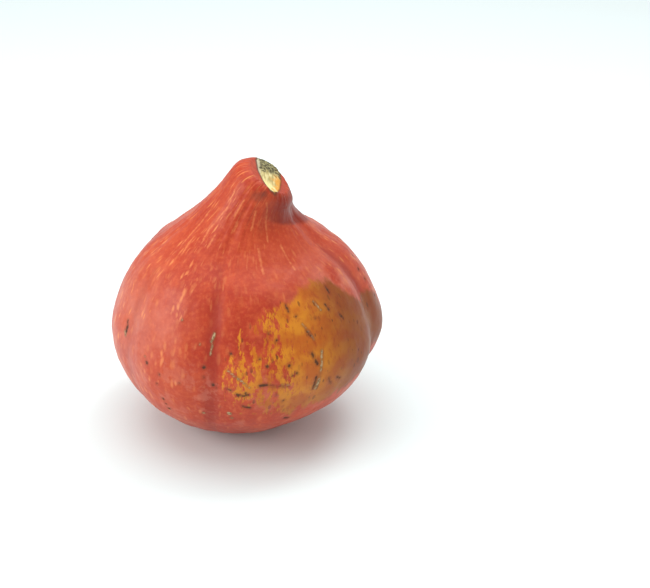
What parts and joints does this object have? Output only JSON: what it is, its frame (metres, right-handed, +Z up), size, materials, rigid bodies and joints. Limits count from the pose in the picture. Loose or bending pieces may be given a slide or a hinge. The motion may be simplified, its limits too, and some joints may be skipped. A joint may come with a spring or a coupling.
{
  "type": "red kuri squash",
  "caption": "Round, squat orange-red winter squash with soft lobes and a leaning neck that ends in a slanting cut stalk scar; rests on a flat spot.",
  "frame": {"origin": "on the surface that the squash rests on, under the middle of its outline seen from above", "axes": "+Z up from the resting spot to the neck; -Y is the front, where the large ground spot is; +X is the side that the cut scar slopes down to"},
  "size_m": [0.1598, 0.1593, 0.1685],
  "materials": {
    "rind": "satin"
  },
  "bodies": {
    "root": {"squash": "rind"}
  },
  "joints": []
}
